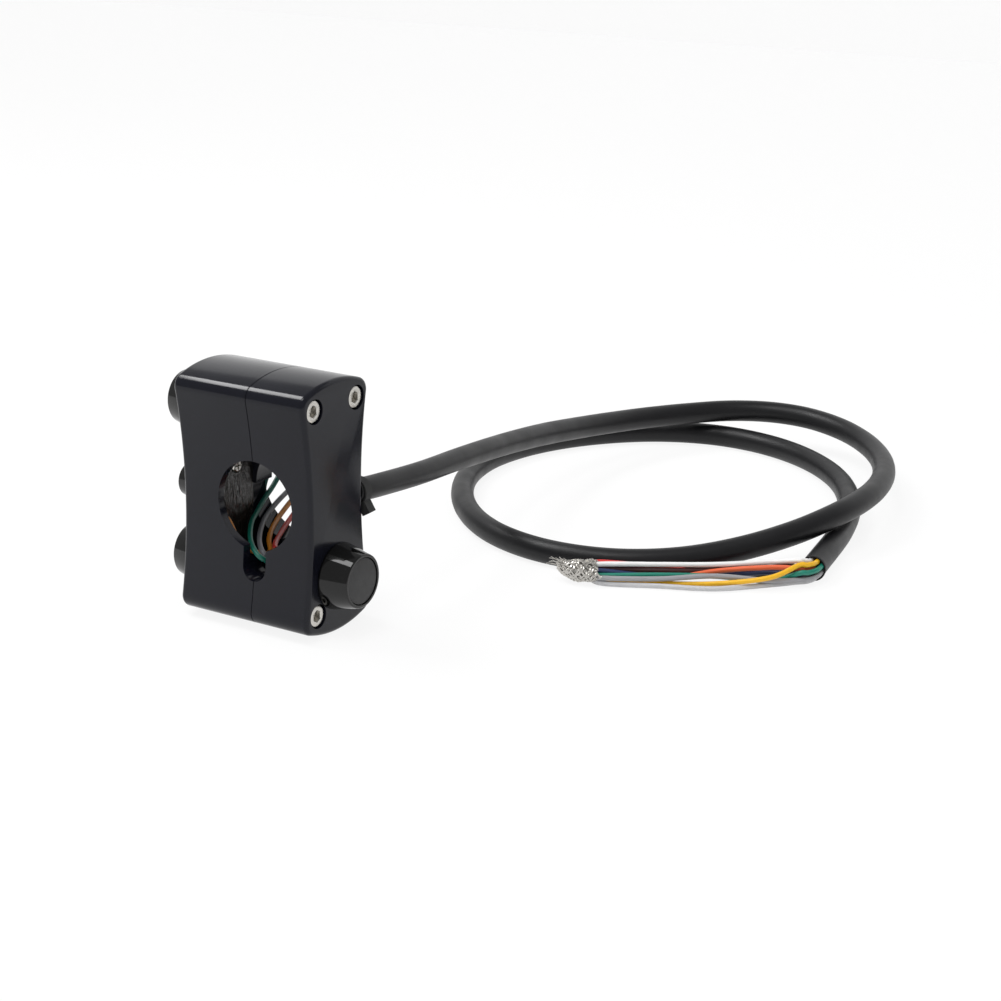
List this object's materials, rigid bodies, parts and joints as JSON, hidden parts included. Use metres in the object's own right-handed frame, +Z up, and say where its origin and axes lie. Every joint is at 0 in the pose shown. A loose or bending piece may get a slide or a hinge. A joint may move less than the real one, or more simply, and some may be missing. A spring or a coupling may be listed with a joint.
{
  "type": "handlebar switch cluster",
  "caption": "Black handlebar switch cluster: two clamp halves round a bar bore, sprung push buttons on both sides and a coiled cable with stripped colour-coded leads.",
  "frame": {"origin": "middle of the handlebar bore's axis, on the split between the two casing halves", "axes": "+X normal to the split, towards the half with one button; +Y along the bore to the side where the cable leaves; +Z up, along the tall side of the casing, away from the wire slot"},
  "size_m": [0.1289, 0.22, 0.0624],
  "materials": {
    "anodised": "satin black anodised",
    "stainless": "bright stainless steel",
    "board": "solder-masked board",
    "resin": "glossy poured resin",
    "bezel": "glossy black",
    "cap": "satin black",
    "spring": "drawn spring wire",
    "switch": "moulded",
    "plunger": "moulded",
    "seal": "moulded",
    "jacket": "satin black PVC",
    "nylon": "satin black nylon",
    "tinned": "tinned copper strands",
    "wire_white": "satin PVC insulation",
    "wire_red": "satin PVC insulation",
    "wire_brown": "satin PVC insulation",
    "wire_black": "satin PVC insulation",
    "wire_green": "satin PVC insulation",
    "wire_orange": "satin PVC insulation",
    "wire_blue": "satin PVC insulation",
    "wire_grey": "satin PVC insulation",
    "wire_yellow": "satin PVC insulation",
    "wire_pale_grey": "satin PVC insulation"
  },
  "bodies": {
    "housing": {"left_casing": "anodised", "right_casing": "anodised", "clamp_screws": "stainless", "left_board": "board", "board_screw": "stainless", "left_potting": "resin", "right_board": "board", "right_potting": "resin", "upper_left_bezel": "bezel", "upper_left_spring": "spring", "upper_left_switch": "switch", "upper_left_gasket": "seal", "middle_left_bezel": "bezel", "middle_left_spring": "spring", "middle_left_switch": "switch", "middle_left_gasket": "seal", "lower_left_bezel": "bezel", "lower_left_spring": "spring", "lower_left_switch": "switch", "lower_left_gasket": "seal", "lower_right_bezel": "bezel", "lower_right_spring": "spring", "lower_right_switch": "switch", "lower_right_gasket": "seal", "green_inner_lead": "wire_green", "grey_inner_lead": "wire_grey", "orange_inner_lead": "wire_orange", "red_inner_lead": "wire_red", "cable": "jacket", "cable_tie": "nylon", "white_lead": "wire_white", "red_lead": "wire_red", "brown_lead": "wire_brown", "black_lead": "wire_black", "green_lead": "wire_green", "orange_lead": "wire_orange", "blue_lead": "wire_blue", "grey_lead": "wire_grey", "yellow_lead": "wire_yellow", "pale_grey_lead": "wire_pale_grey", "braid_end": "tinned"},
    "upper_left_button": {"upper_left_cap": "cap", "upper_left_plunger": "plunger"},
    "middle_left_button": {"middle_left_cap": "cap", "middle_left_plunger": "plunger"},
    "lower_left_button": {"lower_left_cap": "cap", "lower_left_plunger": "plunger"},
    "lower_right_button": {"lower_right_cap": "cap", "lower_right_plunger": "plunger"}
  },
  "joints": [
    {"name": "upper_left_press", "type": "slide", "parent": "housing", "child": "upper_left_button", "axis": [1, 0, 0], "range_m": [0, 0.0012], "stiffness_N_per_m": 1500, "deforming": ["upper_left_spring"]},
    {"name": "middle_left_press", "type": "slide", "parent": "housing", "child": "middle_left_button", "axis": [1, 0, 0], "range_m": [0, 0.0012], "stiffness_N_per_m": 1500, "deforming": ["middle_left_spring"]},
    {"name": "lower_left_press", "type": "slide", "parent": "housing", "child": "lower_left_button", "axis": [1, 0, 0], "range_m": [0, 0.0012], "stiffness_N_per_m": 1500, "deforming": ["lower_left_spring"]},
    {"name": "lower_right_press", "type": "slide", "parent": "housing", "child": "lower_right_button", "axis": [-1, 0, 0], "range_m": [0, 0.0012], "stiffness_N_per_m": 1500, "deforming": ["lower_right_spring"]}
  ]
}
